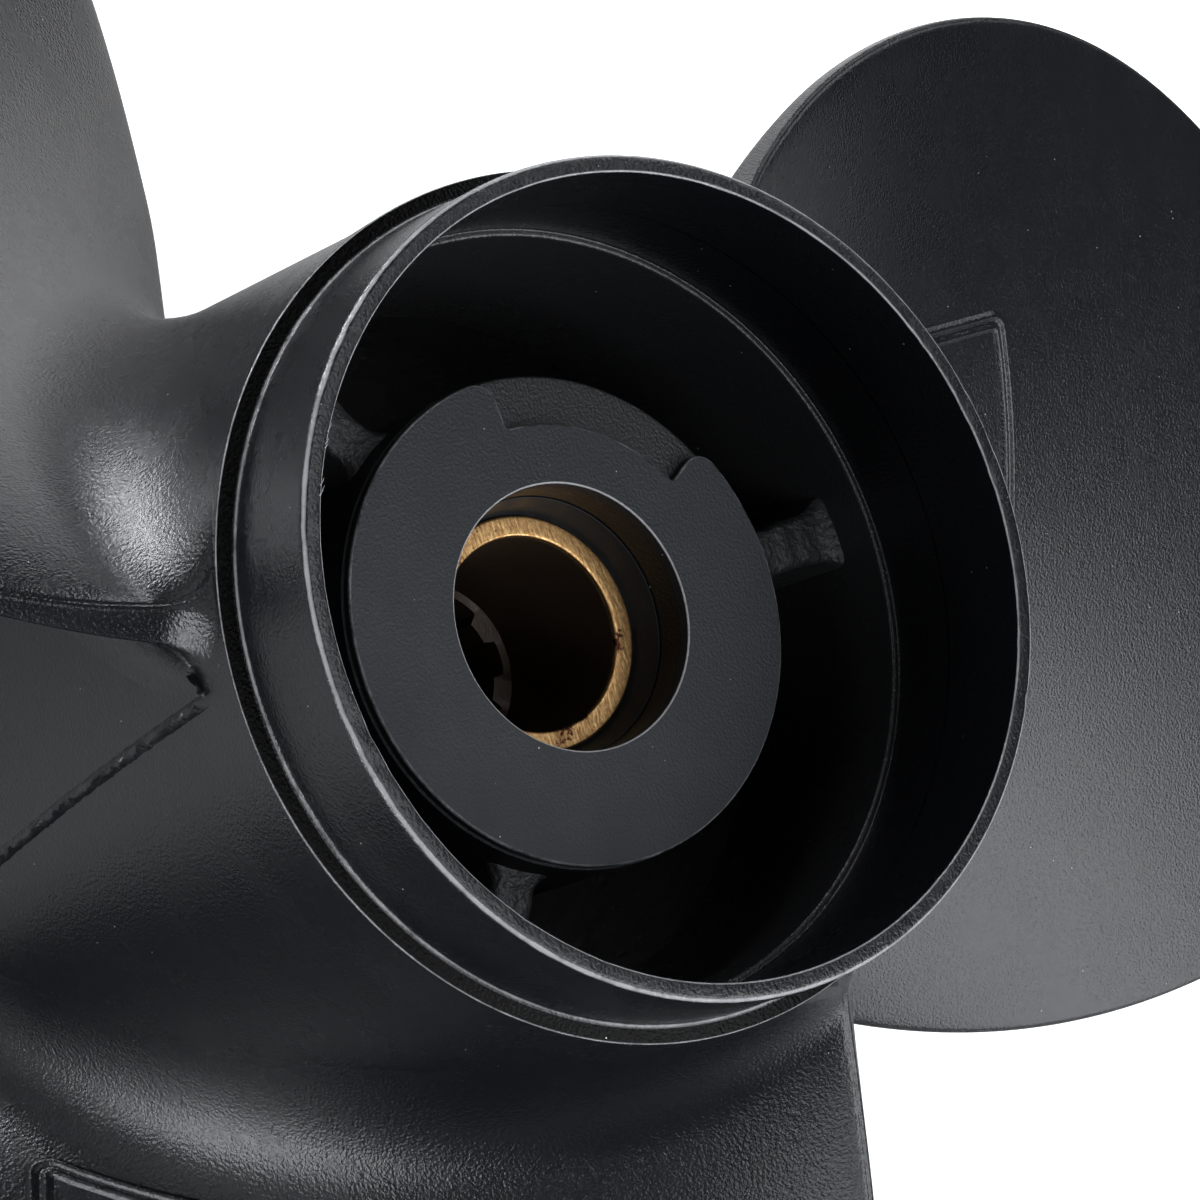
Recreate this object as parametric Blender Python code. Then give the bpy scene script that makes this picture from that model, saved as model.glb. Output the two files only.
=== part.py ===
# Through-hub outboard motor propeller: three blades on an aluminium casting, a rubber bush and a
# splined brass sleeve. Units are metres. The shaft axis is +Z with the gearcase end up, the origin
# lies on the axis in the plane of the barrel's rear end, and blade A is centred on +Y.

import math

import bmesh
import bpy
from mathutils import Matrix

MM = 0.001

# Blades: a right-handed helicoid without rake
TIP_RADIUS = 120.0 * MM
PITCH = 243.0 * MM
BLADE_COUNT = 3
BLADE_MID_Z = 38.7 * MM
ROOT_RADIUS = 33.6 * MM
LEADING_ROOT_ANGLE = math.radians(48.4)
LEADING_SWEEP = math.radians(33.5)
LEADING_CURL = math.radians(14.0)
TRAILING_ROOT_ANGLE = math.radians(-46.4)
TRAILING_SWEEP = math.radians(7.7)
TRAILING_CURL = math.radians(12.7)
TRAILING_PINCH = math.radians(2.35)
PINCH_SHARE = 1.0 / 6.0
TIP_ROUNDING_START = 0.86
TIP_ROUNDING_POWER = 2.2
TIP_CHORD_SHARE = 0.1
ROOT_THICKNESS = 5.6 * MM
TIP_THICKNESS = 1.9 * MM
ROOT_EDGE = 2.2 * MM
TIP_EDGE = 1.0 * MM
SECTION_FULLNESS = 2.4
SIDE_FILLET = 8.0 * MM
END_FILLET = 2.6 * MM
STEEPEST_FILLET = 0.93
ROOT_SINK = 1.2 * MM
CHORD_STEPS = 14

# Barrel, as distances behind the front rim
BARREL_LENGTH = 86.0 * MM
RIM_OUTER_RADIUS = 30.5 * MM
RIM_INNER_RADIUS = 29.1 * MM
RIM_ROUND = 0.4 * MM
COLLAR_BASE_RADIUS = 31.25 * MM
COLLAR_LENGTH = 8.3 * MM
SHOULDER_RADIUS = 32.4 * MM
SHOULDER_DEPTH = 9.2 * MM
BARREL_FRONT_RADIUS = 32.5 * MM
BARREL_FRONT_DEPTH = 16.0 * MM
BARREL_MID_RADIUS = 34.6 * MM
BARREL_MID_DEPTH = 50.0 * MM
FLARE_START_RADIUS = 35.2 * MM
FLARE_START_DEPTH = 74.0 * MM
REAR_OUTER_RADIUS = 37.4 * MM
REAR_INNER_RADIUS = 34.9 * MM
COLLAR_BORE_RADIUS = 29.9 * MM
STEP_DEPTH = 16.0 * MM
STEP_RADIUS = 29.5 * MM
CORE_LINE_DEPTH = 35.8 * MM
CORE_LINE_RADIUS = 28.85 * MM
CORE_STEP = 0.5 * MM
BARREL_SEGMENTS = 72

# Inner hub and its ribs
HUB_FACE_DEPTH = 16.0 * MM
HUB_REAR_DEPTH = 70.0 * MM
HUB_FACE_RADIUS = 18.75 * MM
HUB_MID_RADIUS = 19.3 * MM
NOSE_HOLE_RADIUS = 10.15 * MM
LIP_THICKNESS = 4.4 * MM
BUSH_BORE_RADIUS = 15.0 * MM
RIB_FRONT_DEPTH = 20.0 * MM
RIB_INNER_THICKNESS = 3.0 * MM
RIB_OUTER_THICKNESS = 4.6 * MM
PAD_INNER_RADIUS = 14.8 * MM
PAD_DEPTH = 1.1 * MM
PAD_START_ANGLE = math.radians(120.0)
PAD_END_ANGLE = math.radians(180.0)
HUB_SEGMENTS = 48

# Rubber bush and brass sleeve
SEAT_GAP = 0.3 * MM
NOSE_DEPTH = 19.6 * MM
DISH_DEPTH = 22.3 * MM
BUSH_REAR_DEPTH = 68.0 * MM
SLEEVE_FRONT_DEPTH = 22.3 * MM
SLEEVE_REAR_DEPTH = 72.0 * MM
SLEEVE_RADIUS = 9.2 * MM
COUNTERBORE_RADIUS = 7.55 * MM
SPLINE_DEPTH = 38.2 * MM
SPLINE_ROOT_RADIUS = 7.05 * MM
SPLINE_TIP_RADIUS = 6.1 * MM
SPLINE_COUNT = 8
SPLINE_TURN = math.radians(-12.0)
POINTS_PER_SPLINE = 6


def heightOf(depth):
    """Height above the origin of a plane given as a distance behind the front rim."""
    return BARREL_LENGTH - depth


def material(name, colour, roughness, metallic):
    made = bpy.data.materials.new(name)
    made.use_nodes = True
    shader = made.node_tree.nodes["Principled BSDF"]
    shader.inputs["Base Color"].default_value = (*colour, 1.0)
    shader.inputs["Roughness"].default_value = roughness
    shader.inputs["Metallic"].default_value = metallic
    return made


def objectFrom(bm, name, finish):
    bmesh.ops.recalc_face_normals(bm, faces=bm.faces)
    mesh = bpy.data.meshes.new(name)
    bm.to_mesh(mesh)
    bm.free()
    mesh.materials.append(finish)
    mesh.shade_smooth()
    mesh.set_sharp_from_angle(angle=math.radians(35))
    made = bpy.data.objects.new(name, mesh)
    bpy.context.scene.collection.objects.link(made)
    return made


def turned(name, profile, segments, finish):
    """A closed profile of (radius, height) points spun round the Z axis."""
    bm = bmesh.new()
    points = [bm.verts.new((radius, 0.0, height)) for radius, height in profile]
    loop = [bm.edges.new((points[i - 1], points[i])) for i in range(len(points))]
    bmesh.ops.spin(bm, geom=loop, cent=(0, 0, 0), axis=(0, 0, 1), angle=2 * math.pi,
                   steps=segments, use_merge=True)
    bmesh.ops.remove_doubles(bm, verts=bm.verts, dist=0.001 * MM)
    return objectFrom(bm, name, finish)


def barrelOutside():
    """Outer profile of the barrel, front to rear, as (radius, depth behind the rim)."""
    return [
        (RIM_OUTER_RADIUS - RIM_ROUND, 0.0),
        (RIM_OUTER_RADIUS, RIM_ROUND),
        (RIM_OUTER_RADIUS + 0.2 * MM, 0.5 * COLLAR_LENGTH),
        (COLLAR_BASE_RADIUS, COLLAR_LENGTH),
        (SHOULDER_RADIUS - 0.3 * MM, SHOULDER_DEPTH - 0.5 * MM),
        (SHOULDER_RADIUS, SHOULDER_DEPTH),
        (BARREL_FRONT_RADIUS, BARREL_FRONT_DEPTH),
        (BARREL_MID_RADIUS, BARREL_MID_DEPTH),
        (FLARE_START_RADIUS, FLARE_START_DEPTH),
        (REAR_OUTER_RADIUS - 1.0 * MM, BARREL_LENGTH - 4.0 * MM),
        (REAR_OUTER_RADIUS, BARREL_LENGTH),
    ]


def barrelInside():
    """Inner profile of the barrel, rear to front."""
    return [
        (REAR_INNER_RADIUS, BARREL_LENGTH),
        (REAR_INNER_RADIUS - 2.6 * MM, FLARE_START_DEPTH),
        (CORE_LINE_RADIUS + CORE_STEP, CORE_LINE_DEPTH),
        (CORE_LINE_RADIUS, CORE_LINE_DEPTH),
        (STEP_RADIUS, STEP_DEPTH),
        (COLLAR_BORE_RADIUS, STEP_DEPTH),
        (RIM_INNER_RADIUS, RIM_ROUND),
        (RIM_INNER_RADIUS + 0.2 * MM, 0.0),
    ]


def barrelRadiusAt(height):
    """Outer radius of the barrel at a height above the origin."""
    depth = BARREL_LENGTH - height
    outline = barrelOutside()
    for (radiusA, depthA), (radiusB, depthB) in zip(outline, outline[1:]):
        if depthA <= depth <= depthB:
            return radiusA + (radiusB - radiusA) * (depth - depthA) / (depthB - depthA)
    return outline[-1][0]


def hubProfile():
    middle = 0.5 * (HUB_FACE_DEPTH + HUB_REAR_DEPTH)
    lipDepth = HUB_FACE_DEPTH + LIP_THICKNESS
    points = [
        (NOSE_HOLE_RADIUS, HUB_FACE_DEPTH),
        (HUB_FACE_RADIUS, HUB_FACE_DEPTH),
        (HUB_MID_RADIUS, middle),
        (HUB_FACE_RADIUS, HUB_REAR_DEPTH),
        (BUSH_BORE_RADIUS, HUB_REAR_DEPTH),
        (BUSH_BORE_RADIUS, lipDepth),
        (NOSE_HOLE_RADIUS, lipDepth),
    ]
    return [(radius, heightOf(depth)) for radius, depth in points]


def bladeEdges(radius):
    """Leading and trailing edge angles at a radius, from the blade's centre line."""
    share = max(0.0, (radius - ROOT_RADIUS) / (TIP_RADIUS - ROOT_RADIUS))
    leading = LEADING_ROOT_ANGLE - LEADING_SWEEP * share - LEADING_CURL * share ** 5
    pinch = share / PINCH_SHARE * math.exp(1.0 - share / PINCH_SHARE)
    trailing = (TRAILING_ROOT_ANGLE + TRAILING_SWEEP * share + TRAILING_CURL * share ** 2
                + TRAILING_PINCH * pinch)
    if share > TIP_ROUNDING_START:
        closing = (share - TIP_ROUNDING_START) / (1.0 - TIP_ROUNDING_START)
        arc = math.sqrt(max(0.0, 1.0 - closing ** TIP_ROUNDING_POWER))
        half = 0.5 * (leading - trailing) * (TIP_CHORD_SHARE + (1.0 - TIP_CHORD_SHARE) * arc)
        middle = 0.5 * (leading + trailing)
        return middle + half, middle - half
    return leading, trailing


def filletReach(fillet, rise):
    """How far a fillet stands out from the blade at a rise above the barrel."""
    if rise >= fillet:
        return 0.0
    lift = min(STEEPEST_FILLET, 1.0 - rise / fillet)
    return fillet * (1.0 - math.sqrt(1.0 - lift * lift))


def bladeSection(rise):
    """Points round one section at a rise above the barrel: front side, then rear side."""
    radius = ROOT_RADIUS + rise
    leading, trailing = bladeEdges(radius)
    reach = filletReach(END_FILLET, rise)
    slope = math.atan2(PITCH / (2 * math.pi), radius)
    leading += reach * math.cos(slope) / radius
    trailing -= reach * math.cos(slope) / radius
    share = max(0.0, rise) / (TIP_RADIUS - ROOT_RADIUS)
    full = ROOT_THICKNESS + (TIP_THICKNESS - ROOT_THICKNESS) * share ** 0.8
    edge = ROOT_EDGE + (TIP_EDGE - ROOT_EDGE) * share ** 0.5
    blend = max(0.0, 1.0 - max(rise, 0.0) / (2.0 * SIDE_FILLET))
    sides = {1: [], -1: []}
    for step in range(CHORD_STEPS + 1):
        along = -math.cos(math.pi * step / CHORD_STEPS)
        angle = 0.5 * (leading + trailing) + 0.5 * (leading - trailing) * along
        bulge = math.sqrt(max(0.0, 1.0 - abs(along) ** SECTION_FULLNESS))
        fillet = END_FILLET + (SIDE_FILLET - END_FILLET) * bulge
        half = 0.5 * (edge + (full - edge) * bulge)
        if step in (0, CHORD_STEPS):
            half *= 0.5
        else:
            half += filletReach(fillet, rise)
        middle = BLADE_MID_Z + PITCH * angle / (2 * math.pi)
        for side, points in sides.items():
            height = middle + side * half * math.cos(slope)
            seat = radius + blend * (barrelRadiusAt(height) - ROOT_RADIUS)
            turn = angle - side * half * math.sin(slope) / seat
            points.append((seat * math.cos(turn), seat * math.sin(turn), height))
    return sides[1], sides[-1]


def bladeRises():
    fillet = [SIDE_FILLET * share for share in (0.02, 0.1, 0.25, 0.5, 1.0)]
    reach = TIP_RADIUS - ROOT_RADIUS - SIDE_FILLET
    middle = [SIDE_FILLET + reach * share for share in (0.1, 0.22, 0.35, 0.48, 0.61, 0.73, 0.82)]
    tip = [SIDE_FILLET + reach * share for share in (0.89, 0.94, 0.975, 0.992, 1.0)]
    return [-ROOT_SINK] + fillet + middle + tip


def blade(name, centreAngle, finish):
    bm = bmesh.new()
    rings = []
    for rise in bladeRises():
        front, rear = bladeSection(rise)
        rings.append(([bm.verts.new(p) for p in front], [bm.verts.new(p) for p in rear]))
    count = CHORD_STEPS + 1
    for lower, upper in zip(rings, rings[1:]):
        loopLow = lower[0] + lower[1][::-1]
        loopHigh = upper[0] + upper[1][::-1]
        for i in range(2 * count):
            bm.faces.new((loopLow[i - 1], loopLow[i], loopHigh[i], loopHigh[i - 1]))
    for front, rear in (rings[0], rings[-1]):
        for i in range(CHORD_STEPS):
            bm.faces.new((front[i], front[i + 1], rear[i + 1], rear[i]))
    bmesh.ops.rotate(bm, verts=bm.verts, cent=(0, 0, 0), matrix=Matrix.Rotation(centreAngle, 3, "Z"))
    return objectFrom(bm, name, finish)


def rib(name, centreAngle, finish):
    """A web from the inner hub's wall into the barrel's wall, thicker towards the barrel."""
    inner = 0.5 * (BUSH_BORE_RADIUS + HUB_FACE_RADIUS)
    outer = CORE_LINE_RADIUS + 1.6 * MM
    front = heightOf(RIB_FRONT_DEPTH)
    rear = heightOf(HUB_REAR_DEPTH - 1.0 * MM)
    corners = [
        (inner, -0.5 * RIB_INNER_THICKNESS),
        (outer, -0.5 * RIB_OUTER_THICKNESS),
        (outer, 0.5 * RIB_OUTER_THICKNESS),
        (inner, 0.5 * RIB_INNER_THICKNESS),
    ]
    bm = bmesh.new()
    floor = bm.faces.new([bm.verts.new((x, y, rear)) for x, y in corners])
    raised = bmesh.ops.extrude_face_region(bm, geom=[floor])
    bmesh.ops.translate(bm, verts=[v for v in raised["geom"] if isinstance(v, bmesh.types.BMVert)],
                        vec=(0.0, 0.0, front - rear))
    bmesh.ops.rotate(bm, verts=bm.verts, cent=(0, 0, 0), matrix=Matrix.Rotation(centreAngle, 3, "Z"))
    return objectFrom(bm, name, finish)


def padCutter(finish):
    """The sunk pad at the front face's edge, where castings carry a mark; it is bare here."""
    steps = 10
    outer = HUB_MID_RADIUS + 1.0 * MM
    top = heightOf(HUB_FACE_DEPTH) + 1.0 * MM
    floor = heightOf(HUB_FACE_DEPTH + PAD_DEPTH)
    rim = []
    for radius, order in ((PAD_INNER_RADIUS, 1), (outer, -1)):
        for step in range(steps + 1)[::order]:
            angle = PAD_START_ANGLE + (PAD_END_ANGLE - PAD_START_ANGLE) * step / steps
            rim.append((radius * math.cos(angle), radius * math.sin(angle)))
    bm = bmesh.new()
    face = bm.faces.new([bm.verts.new((x, y, floor)) for x, y in rim])
    raised = bmesh.ops.extrude_face_region(bm, geom=[face])
    bmesh.ops.translate(bm, verts=[v for v in raised["geom"] if isinstance(v, bmesh.types.BMVert)],
                        vec=(0.0, 0.0, top - floor))
    return objectFrom(bm, "pad_cutter", finish)


def combine(base, tool, operation):
    tool.hide_render = True
    tool.display_type = "WIRE"
    step = base.modifiers.new(operation.lower() + "_" + tool.name, "BOOLEAN")
    step.operation = operation
    step.solver = "EXACT"
    step.object = tool


def casting(finish):
    """Barrel, inner hub, ribs and blades, poured as one piece."""
    profile = [(radius, heightOf(depth)) for radius, depth in barrelOutside() + barrelInside()]
    barrel = turned("casting", profile, BARREL_SEGMENTS, finish)
    combine(barrel, turned("hub_form", hubProfile(), HUB_SEGMENTS, finish), "UNION")
    for index in range(BLADE_COUNT):
        angle = math.radians(90.0) + index * 2 * math.pi / BLADE_COUNT
        combine(barrel, rib("rib_form_%d" % (index + 1), angle, finish), "UNION")
        combine(barrel, blade("blade_form_%d" % (index + 1), angle, finish), "UNION")
    combine(barrel, padCutter(finish), "DIFFERENCE")
    return barrel


def rubberBush(finish):
    noseRadius = NOSE_HOLE_RADIUS - SEAT_GAP
    innerRadius = SLEEVE_RADIUS + SEAT_GAP
    outerRadius = BUSH_BORE_RADIUS - SEAT_GAP
    lipRear = HUB_FACE_DEPTH + LIP_THICKNESS + SEAT_GAP
    points = [
        (innerRadius, DISH_DEPTH - 0.6 * MM),
        (noseRadius, NOSE_DEPTH),
        (noseRadius, lipRear),
        (outerRadius, lipRear),
        (outerRadius, BUSH_REAR_DEPTH),
        (innerRadius, BUSH_REAR_DEPTH),
    ]
    profile = [(radius, heightOf(depth)) for radius, depth in points]
    return turned("rubber_bush", profile, HUB_SEGMENTS, finish)


def splinedSleeve(finish):
    count = SPLINE_COUNT * POINTS_PER_SPLINE
    half = POINTS_PER_SPLINE // 2

    def ring(bm, radii, depth):
        verts = []
        for i in range(count):
            angle = SPLINE_TURN + 2 * math.pi * i / count
            radius = radii[i % len(radii)]
            verts.append(bm.verts.new((radius * math.cos(angle), radius * math.sin(angle),
                                       heightOf(depth))))
        return verts

    spline = [SPLINE_ROOT_RADIUS] * half + [SPLINE_TIP_RADIUS] * half
    bm = bmesh.new()
    rings = [
        ring(bm, [SLEEVE_RADIUS], SLEEVE_FRONT_DEPTH),
        ring(bm, [SLEEVE_RADIUS], SLEEVE_REAR_DEPTH),
        ring(bm, spline, SLEEVE_REAR_DEPTH),
        ring(bm, spline, SPLINE_DEPTH),
        ring(bm, [COUNTERBORE_RADIUS], SPLINE_DEPTH),
        ring(bm, [COUNTERBORE_RADIUS], SLEEVE_FRONT_DEPTH),
    ]
    for k in range(len(rings)):
        low, high = rings[k - 1], rings[k]
        for i in range(count):
            bm.faces.new((low[i - 1], low[i], high[i], high[i - 1]))
    return objectFrom(bm, "splined_sleeve", finish)


def build():
    for item in list(bpy.data.objects):
        bpy.data.objects.remove(item, do_unlink=True)
    paint = material("satin_black_paint", (0.035, 0.037, 0.042), 0.42, 0.0)
    rubber = material("dark_rubber", (0.03, 0.03, 0.03), 0.75, 0.0)
    brass = material("machined_brass", (0.62, 0.45, 0.24), 0.38, 1.0)
    casting(paint)
    rubberBush(rubber)
    splinedSleeve(brass)


build()
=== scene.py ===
# Looks of the outboard propeller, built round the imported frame: the painted casting with its raised
# frames and mould marks, the rubber bush and the splined brass sleeve.
# Shapes are worked out in millimetres, with depths measured behind the front rim.
import math
import random

import bmesh
import bpy
from mathutils import Matrix, Vector, noise


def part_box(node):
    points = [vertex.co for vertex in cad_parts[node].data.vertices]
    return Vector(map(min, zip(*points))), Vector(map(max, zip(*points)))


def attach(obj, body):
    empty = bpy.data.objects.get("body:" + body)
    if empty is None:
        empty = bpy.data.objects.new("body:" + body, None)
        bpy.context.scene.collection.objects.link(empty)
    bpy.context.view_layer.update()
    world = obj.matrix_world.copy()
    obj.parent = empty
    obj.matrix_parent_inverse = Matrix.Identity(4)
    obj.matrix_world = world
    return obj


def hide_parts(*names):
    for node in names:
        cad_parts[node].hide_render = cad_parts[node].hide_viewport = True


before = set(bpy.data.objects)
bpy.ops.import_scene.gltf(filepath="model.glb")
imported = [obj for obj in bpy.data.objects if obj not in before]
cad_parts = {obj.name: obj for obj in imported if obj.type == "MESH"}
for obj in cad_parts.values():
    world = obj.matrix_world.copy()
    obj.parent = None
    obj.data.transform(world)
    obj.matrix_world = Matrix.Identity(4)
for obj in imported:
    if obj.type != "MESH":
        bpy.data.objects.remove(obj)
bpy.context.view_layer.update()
mm = 0.001
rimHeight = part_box("casting")[1].z / mm  # the rim is the casting's highest point
detail = 1.0


def report(stage):
    print("stage:", stage)


def polar(radius, angle, depth):
    return radius * math.cos(angle), radius * math.sin(angle), rimHeight - depth


def smooth(low, high, value):
    share = min(1.0, max(0.0, (value - low) / (high - low)))
    return share * share * (3.0 - 2.0 * share)


def addPiece(name, points, faces, finish, node, markShare=None, sharpAngle=40.0, flats=()):
    # flats are groups of vertex loops; each group bounds one flat stretch, holes included
    mesh = bpy.data.meshes.new(name)
    mesh.from_pydata([(x * mm, y * mm, z * mm) for x, y, z in points], [], faces)
    bm = bmesh.new()
    bm.from_mesh(mesh)
    bm.verts.ensure_lookup_table()
    for loops in flats:
        rim = [bm.edges.get((bm.verts[a], bm.verts[b])) for loop in loops for a, b in zip(loop, loop[1:] + loop[:1])]
        bmesh.ops.triangle_fill(bm, use_beauty=True, edges=rim)
    bmesh.ops.recalc_face_normals(bm, faces=bm.faces)
    bm.to_mesh(mesh)
    bm.free()
    mesh.shade_smooth()
    mesh.set_sharp_from_angle(angle=math.radians(sharpAngle))
    worn = mesh.attributes.new("markShare", "FLOAT", "POINT")
    worn.data.foreach_set("value", markShare if markShare else [0.0] * len(points))
    mesh.materials.append(finish)
    piece = bpy.data.objects.new(name, mesh)
    bpy.context.scene.collection.objects.link(piece)
    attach(piece, "root")
    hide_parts(node)
    return piece


def roundedLoop(corners, closed=True, arcSteps=6, support=0.3, longest=2.5):
    # corners are (x, y, fillet); gives (x, y, edge), where edge is 1 on a rounded corner
    count = len(corners)
    loop = []
    for i, (x, y, fillet) in enumerate(corners):
        here = Vector((x, y))
        if not closed and i in (0, count - 1):
            loop.append((x, y, 0.0))
            continue
        before = Vector(corners[i - 1][:2]) - here
        after = Vector(corners[(i + 1) % count][:2]) - here
        half = before.angle(after) / 2
        trim = min(fillet / math.tan(half), 0.45 * before.length, 0.45 * after.length)
        radius = trim * math.tan(half)
        centre = here + (before.normalized() + after.normalized()).normalized() * radius / math.sin(half)
        first = here + before.normalized() * trim - centre
        last = here + after.normalized() * trim - centre
        start = math.atan2(first.y, first.x)
        turn = (math.atan2(last.y, last.x) - start + math.pi) % (2 * math.pi) - math.pi
        steps = max(2, math.ceil(arcSteps * abs(turn) / (math.pi / 2)))
        for k in range(steps + 1):
            angle = start + turn * k / steps
            edge = math.sin(math.pi * k / steps)
            loop.append((centre.x + radius * math.cos(angle), centre.y + radius * math.sin(angle), edge))
    filled = []
    pairs = zip(loop, loop[1:] + loop[:1]) if closed else zip(loop, loop[1:])
    for (x0, y0, e0), (x1, y1, e1) in pairs:
        filled.append((x0, y0, e0))
        length = math.hypot(x1 - x0, y1 - y0)
        if length > 3 * support:
            inner = max(1, round((length - 2 * support) / longest))
            for k in range(inner + 1):
                share = (support + (length - 2 * support) * k / inner) / length
                filled.append((x0 + (x1 - x0) * share, y0 + (y1 - y0) * share, 0.0))
    return filled if closed else filled + [loop[-1]]


def turnedPiece(name, loop, segments, finish, node, wobble=None):
    # spins a closed loop of (radius, depth, share of the light edge tint)
    points, faces, markShare = [], [], []
    size = len(loop)
    for k in range(segments):
        angle = 2 * math.pi * k / segments
        for radius, depth, edge in loop:
            shiftR, shiftD = wobble(radius, depth, angle) if wobble else (0.0, 0.0)
            points.append(polar(radius + shiftR, angle, depth + shiftD))
            markShare.append(edge)
        here, after = k * size, (k + 1) % segments * size
        faces += [(here + j, here + (j + 1) % size, after + (j + 1) % size, after + j) for j in range(size)]
    return addPiece(name, points, faces, finish, node, markShare)


# Materials: shared effects are node groups, and each material places them with its own values

def newGroup(name, inputs, outputs):
    group = bpy.data.node_groups.new(name, "ShaderNodeTree")
    for label, kind, value in inputs:
        socket = group.interface.new_socket(name=label, in_out="INPUT", socket_type=kind)
        socket.default_value = value
    for label, kind in outputs:
        group.interface.new_socket(name=label, in_out="OUTPUT", socket_type=kind)
    return group, group.nodes.new("NodeGroupInput"), group.nodes.new("NodeGroupOutput")


def place(tree, kind, settings=None, **values):
    # adds a node; values fill inputs by name, with spaces left out of the names
    made = tree.nodes.new(kind)
    for key, value in (settings or {}).items():
        setattr(made, key, value)
    for key, value in values.items():
        socket = next(s for s in made.inputs if s.name.replace(" ", "") == key and s.enabled)
        if isinstance(value, bpy.types.NodeSocket):
            tree.links.new(value, socket)
        else:
            socket.default_value = value
    return made


def calculate(tree, operation, first, second=0.0, third=0.0, clamp=False):
    made = tree.nodes.new("ShaderNodeMath")
    made.operation = operation
    made.use_clamp = clamp
    for socket, value in zip(made.inputs, (first, second, third)):
        if isinstance(value, bpy.types.NodeSocket):
            tree.links.new(value, socket)
        else:
            socket.default_value = value
    return made.outputs[0]


def between(tree, value, low, high, toLow=0.0, toHigh=1.0):
    made = place(tree, "ShaderNodeMapRange", {"interpolation_type": "SMOOTHSTEP"}, Value=value)
    for label, number in (("From Min", low), ("From Max", high), ("To Min", toLow), ("To Max", toHigh)):
        socket = made.inputs[label]
        if isinstance(number, bpy.types.NodeSocket):
            tree.links.new(number, socket)
        else:
            socket.default_value = number
    return made.outputs["Result"]


def mixColours(tree, share, first, second):
    made = tree.nodes.new("ShaderNodeMix")
    made.data_type = "RGBA"
    for socket, value in ((made.inputs[0], share), (made.inputs[6], first), (made.inputs[7], second)):
        if isinstance(value, bpy.types.NodeSocket):
            tree.links.new(value, socket)
        else:
            socket.default_value = value
    return made.outputs[2]


def orangePeelGroup():
    group, given, out = newGroup(
        "orange peel",
        [("Grain Size mm", "NodeSocketFloat", 0.35), ("Waviness", "NodeSocketFloat", 0.3)],
        [("Height", "NodeSocketFloat")],
    )
    place3d = place(group, "ShaderNodeTexCoord").outputs["Object"]
    scale = calculate(group, "DIVIDE", 1000.0, given.outputs["Grain Size mm"])
    fine = place(group, "ShaderNodeTexNoise", Vector=place3d, Scale=scale, Detail=2.0, Roughness=0.55)
    slow = place(group, "ShaderNodeTexNoise", Vector=place3d, Scale=90.0, Detail=1.0)
    broad = calculate(group, "MULTIPLY", slow.outputs["Fac"], given.outputs["Waviness"])
    group.links.new(calculate(group, "ADD", fine.outputs["Fac"], broad), out.inputs["Height"])
    return group


def dustGroup():
    group, given, out = newGroup(
        "dust specks",
        [("Spacing mm", "NodeSocketFloat", 2.0), ("Speck mm", "NodeSocketFloat", 0.1)],
        [("Mask", "NodeSocketFloat")],
    )
    place3d = place(group, "ShaderNodeTexCoord").outputs["Object"]
    scale = calculate(group, "DIVIDE", 1000.0, given.outputs["Spacing mm"])
    cells = place(group, "ShaderNodeTexVoronoi", Vector=place3d, Scale=scale)
    reach = calculate(group, "DIVIDE", given.outputs["Speck mm"], given.outputs["Spacing mm"])
    size = calculate(group, "MULTIPLY", reach, cells.outputs["Color"])
    mask = between(group, cells.outputs["Distance"], size, calculate(group, "MULTIPLY", size, 0.6))
    group.links.new(mask, out.inputs["Mask"])
    return group


# light tint on marked edges: rubbed-bare paint in places, and painted highlight lines where edges catch light
def edgeWearAndHighlightGroup():
    group, given, out = newGroup(
        "edge wear and painted highlight",
        [("Edge", "NodeSocketFloat", 0.0), ("Patchiness", "NodeSocketFloat", 0.5)],
        [("Mask", "NodeSocketFloat")],
    )
    place3d = place(group, "ShaderNodeTexCoord").outputs["Object"]
    patches = place(group, "ShaderNodeTexNoise", Vector=place3d, Scale=420.0, Detail=4.0, Roughness=0.7)
    breaks = calculate(group, "MULTIPLY", patches.outputs["Fac"], given.outputs["Patchiness"])
    left = calculate(group, "SUBTRACT", given.outputs["Edge"], breaks)
    group.links.new(between(group, left, 0.35, 0.75), out.inputs["Mask"])
    return group


def mottleGroup():
    group, given, out = newGroup(
        "mottle",
        [("Patch mm", "NodeSocketFloat", 0.8), ("Contrast", "NodeSocketFloat", 0.3)],
        [("Value", "NodeSocketFloat")],
    )
    place3d = place(group, "ShaderNodeTexCoord").outputs["Object"]
    scale = calculate(group, "DIVIDE", 1000.0, given.outputs["Patch mm"])
    patches = place(group, "ShaderNodeTexNoise", Vector=place3d, Scale=scale, Detail=3.0, Roughness=0.6)
    centred = calculate(group, "SUBTRACT", patches.outputs["Fac"], 0.5)
    spread = calculate(group, "MULTIPLY", centred, given.outputs["Contrast"])
    group.links.new(calculate(group, "ADD", spread, 1.0), out.inputs["Value"])
    return group


groups = {
    "peel": orangePeelGroup(),
    "dust": dustGroup(),
    "worn": edgeWearAndHighlightGroup(),
    "mottle": mottleGroup(),
}


def placeGroup(tree, key, **values):
    made = tree.nodes.new("ShaderNodeGroup")
    made.node_tree = groups[key]
    for label, value in values.items():
        socket = next(s for s in made.inputs if s.name.replace(" ", "") == label)
        if isinstance(value, bpy.types.NodeSocket):
            tree.links.new(value, socket)
        else:
            socket.default_value = value
    return made.outputs[0]


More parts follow.
